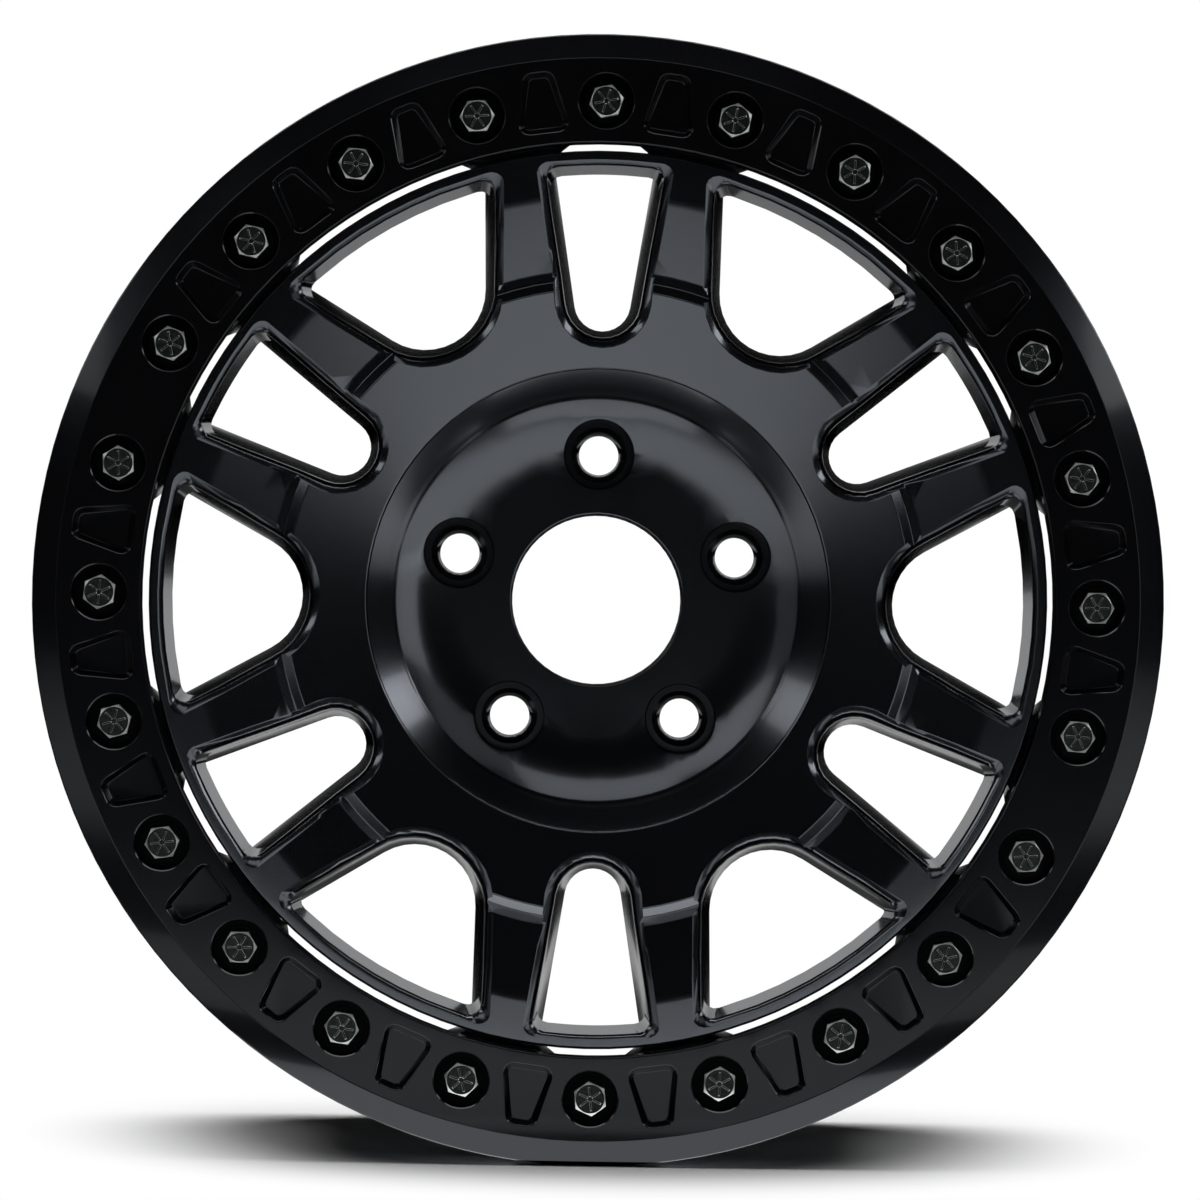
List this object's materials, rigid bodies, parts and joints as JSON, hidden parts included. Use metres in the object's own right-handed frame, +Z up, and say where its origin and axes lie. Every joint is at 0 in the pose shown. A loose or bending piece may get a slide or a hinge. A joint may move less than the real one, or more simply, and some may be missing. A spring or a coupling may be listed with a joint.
{
  "type": "car wheel",
  "caption": "Spoked off-road car wheel with a deep hub bowl and a bolted ring that clamps the outer tyre bead.",
  "frame": {"origin": "centre of the hub mounting face, on the wheel's axis", "axes": "Y along the wheel's axis: the front of the wheel faces -Y and the hub is on the +Y side. Z is up."},
  "size_m": [0.4749, 0.25, 0.475],
  "materials": {
    "casting_paint": "satin black",
    "ring_paint": "satin black",
    "bolt_steel": "dark zinc",
    "washer_steel": "black oxide",
    "insert_steel": "yellow zinc"
  },
  "bodies": {
    "root": {"wheel_casting": "casting_paint", "lock_ring": "ring_paint", "ring_bolts": "bolt_steel", "ring_washers": "washer_steel", "thread_inserts": "insert_steel"}
  },
  "joints": []
}
